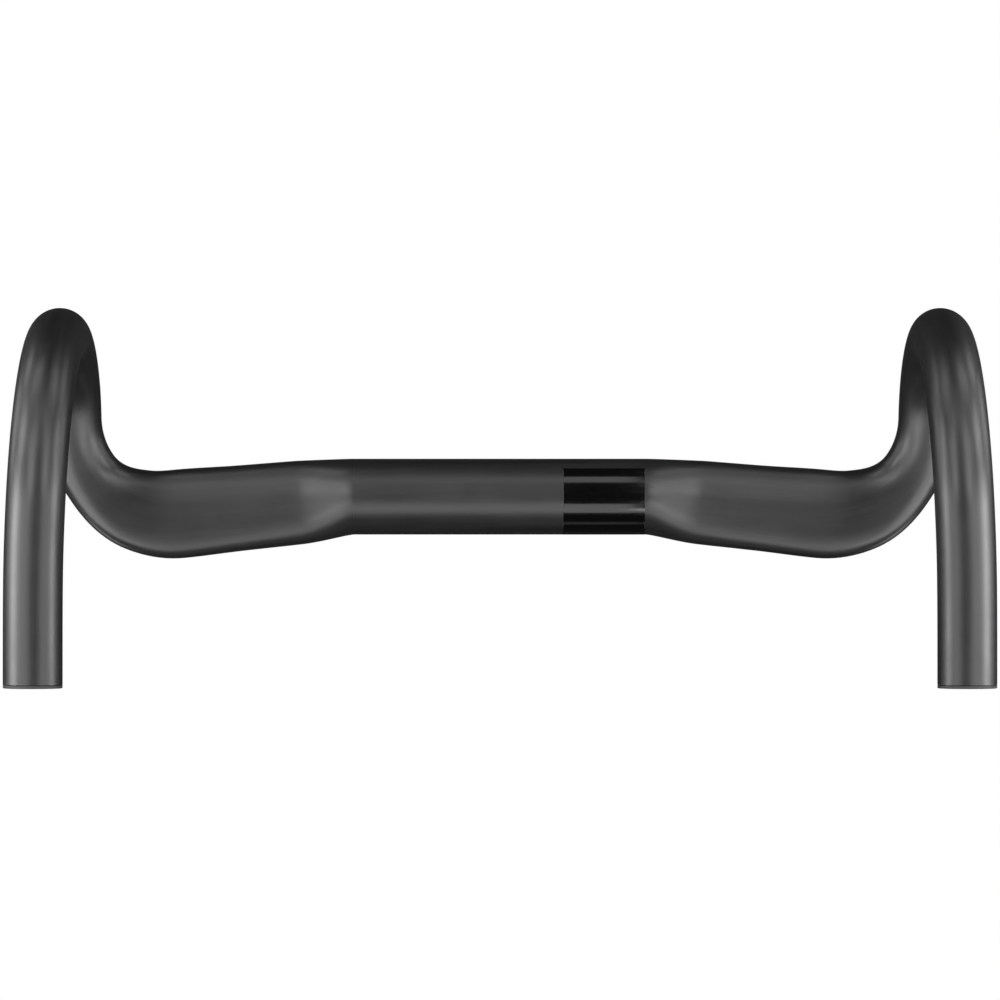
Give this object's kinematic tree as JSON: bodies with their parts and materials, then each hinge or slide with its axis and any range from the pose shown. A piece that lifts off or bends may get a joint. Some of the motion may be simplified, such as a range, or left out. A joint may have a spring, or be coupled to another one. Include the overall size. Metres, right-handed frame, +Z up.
{
  "type": "drop handlebar",
  "caption": "Compact drop handlebar with flattened swept wings, flared drops, a gloss band beside the stem clamp and expanding end plugs.",
  "frame": {"origin": "middle of the stem clamp zone, on the tube's axis", "axes": "+X along the clamped tube to the rider's left, +Y back towards the rider along the level drops, +Z up"},
  "size_m": [0.3986, 0.1545, 0.1519],
  "materials": {
    "carbon": "satin",
    "gloss_band": "gloss",
    "black_nylon": "matte",
    "rubber": "matte",
    "zinc_steel": "satin",
    "aluminium": "satin"
  },
  "bodies": {
    "bar": {"centre_tube": "carbon", "gloss_band": "gloss_band", "left_side": "carbon", "right_side": "carbon"},
    "left_plug": {"left_end_cap": "black_nylon", "left_front_ring": "rubber", "left_rear_ring": "rubber"},
    "left_screw": {"left_plug_screw": "zinc_steel"},
    "left_nut": {"left_wedge_nut": "aluminium"},
    "left_jaw_body_1": {"left_jaw_1": "black_nylon"},
    "left_jaw_body_2": {"left_jaw_2": "black_nylon"},
    "left_jaw_body_3": {"left_jaw_3": "black_nylon"},
    "right_plug": {"right_end_cap": "black_nylon", "right_front_ring": "rubber", "right_rear_ring": "rubber"},
    "right_screw": {"right_plug_screw": "zinc_steel"},
    "right_nut": {"right_wedge_nut": "aluminium"},
    "right_jaw_body_1": {"right_jaw_1": "black_nylon"},
    "right_jaw_body_2": {"right_jaw_2": "black_nylon"},
    "right_jaw_body_3": {"right_jaw_3": "black_nylon"}
  },
  "joints": [
    {"name": "left_plug_pull", "type": "slide", "parent": "bar", "child": "left_plug", "axis": [0, 1, 0], "range_m": [0, 0.035]},
    {"name": "left_screw_turn", "type": "hinge", "parent": "left_plug", "child": "left_screw", "pos_m": [0.18735, 0.0756, -0.124], "axis": [0, 1, 0], "range_deg": [0, 1080]},
    {"name": "left_nut_travel", "type": "slide", "parent": "left_plug", "child": "left_nut", "axis": [0, -1, 0], "range_m": [0, 0.0024]},
    {"name": "left_jaw_1_travel", "type": "slide", "parent": "left_plug", "child": "left_jaw_body_1", "axis": [0, 0, -1], "range_m": [0, 0.00066]},
    {"name": "left_jaw_2_travel", "type": "slide", "parent": "left_plug", "child": "left_jaw_body_2", "axis": [-0.866, 0, 0.5], "range_m": [0, 0.00066]},
    {"name": "left_jaw_3_travel", "type": "slide", "parent": "left_plug", "child": "left_jaw_body_3", "axis": [0.866, 0, 0.5], "range_m": [0, 0.00066]},
    {"name": "right_plug_pull", "type": "slide", "parent": "bar", "child": "right_plug", "axis": [0, 1, 0], "range_m": [0, 0.035]},
    {"name": "right_screw_turn", "type": "hinge", "parent": "right_plug", "child": "right_screw", "pos_m": [-0.18735, 0.0756, -0.124], "axis": [0, 1, 0], "range_deg": [0, 1080]},
    {"name": "right_nut_travel", "type": "slide", "parent": "right_plug", "child": "right_nut", "axis": [0, -1, 0], "range_m": [0, 0.0024]},
    {"name": "right_jaw_1_travel", "type": "slide", "parent": "right_plug", "child": "right_jaw_body_1", "axis": [0, 0, -1], "range_m": [0, 0.00066]},
    {"name": "right_jaw_2_travel", "type": "slide", "parent": "right_plug", "child": "right_jaw_body_2", "axis": [-0.866, 0, 0.5], "range_m": [0, 0.00066]},
    {"name": "right_jaw_3_travel", "type": "slide", "parent": "right_plug", "child": "right_jaw_body_3", "axis": [0.866, 0, 0.5], "range_m": [0, 0.00066]}
  ],
  "couplings": [
    {"joint": "left_screw_turn", "follows": "left_nut_travel", "rad_per_m": 7854},
    {"joint": "left_jaw_1_travel", "follows": "left_nut_travel", "ratio": 0.26795},
    {"joint": "left_jaw_2_travel", "follows": "left_nut_travel", "ratio": 0.26795},
    {"joint": "left_jaw_3_travel", "follows": "left_nut_travel", "ratio": 0.26795},
    {"joint": "right_screw_turn", "follows": "right_nut_travel", "rad_per_m": 7854},
    {"joint": "right_jaw_1_travel", "follows": "right_nut_travel", "ratio": 0.26795},
    {"joint": "right_jaw_2_travel", "follows": "right_nut_travel", "ratio": 0.26795},
    {"joint": "right_jaw_3_travel", "follows": "right_nut_travel", "ratio": 0.26795}
  ]
}
